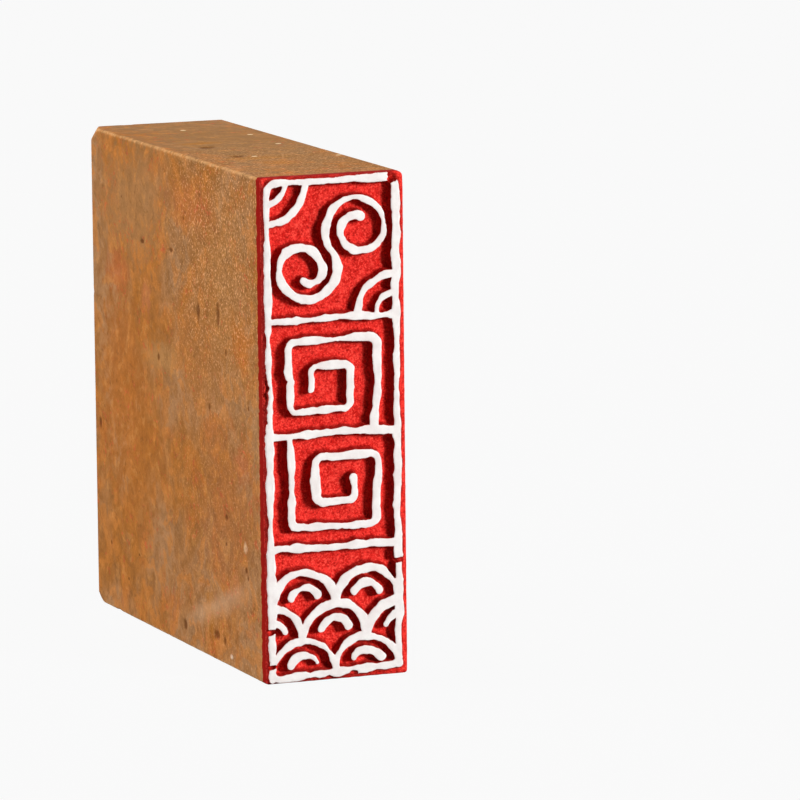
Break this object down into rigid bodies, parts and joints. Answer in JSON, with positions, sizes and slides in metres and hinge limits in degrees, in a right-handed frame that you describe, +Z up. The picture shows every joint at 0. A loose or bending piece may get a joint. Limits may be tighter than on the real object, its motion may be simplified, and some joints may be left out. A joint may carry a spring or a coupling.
{
  "type": "stone seal stamp",
  "caption": "Flat stone seal stamp on a narrow side, with a carved relief face coated white on the raised strokes and vermilion in the hollows.",
  "frame": {"origin": "middle of the narrow side that the seal stands on", "axes": "+X across the narrow carved face, +Y from the carved face to the plain butt end, +Z up"},
  "size_m": [0.015, 0.05, 0.05],
  "materials": {
    "stone": "honed and waxed soft carving stone, mottled ochre brown with darker specks",
    "white_coat": "thin matt white coat on the crown of the raised strokes",
    "vermilion": "thin rough coat of vermilion pigment in the cut hollows"
  },
  "bodies": {
    "root": {"stone_block": "stone", "white_border": "white_coat", "white_cloud": "white_coat", "white_ripples": "white_coat", "red_margin": "vermilion", "red_cloud_ground": "vermilion", "red_corner_wells": "vermilion", "red_upper_fret": "vermilion", "red_lower_fret": "vermilion", "red_above_waves": "vermilion", "red_wave_wells": "vermilion"}
  },
  "joints": []
}
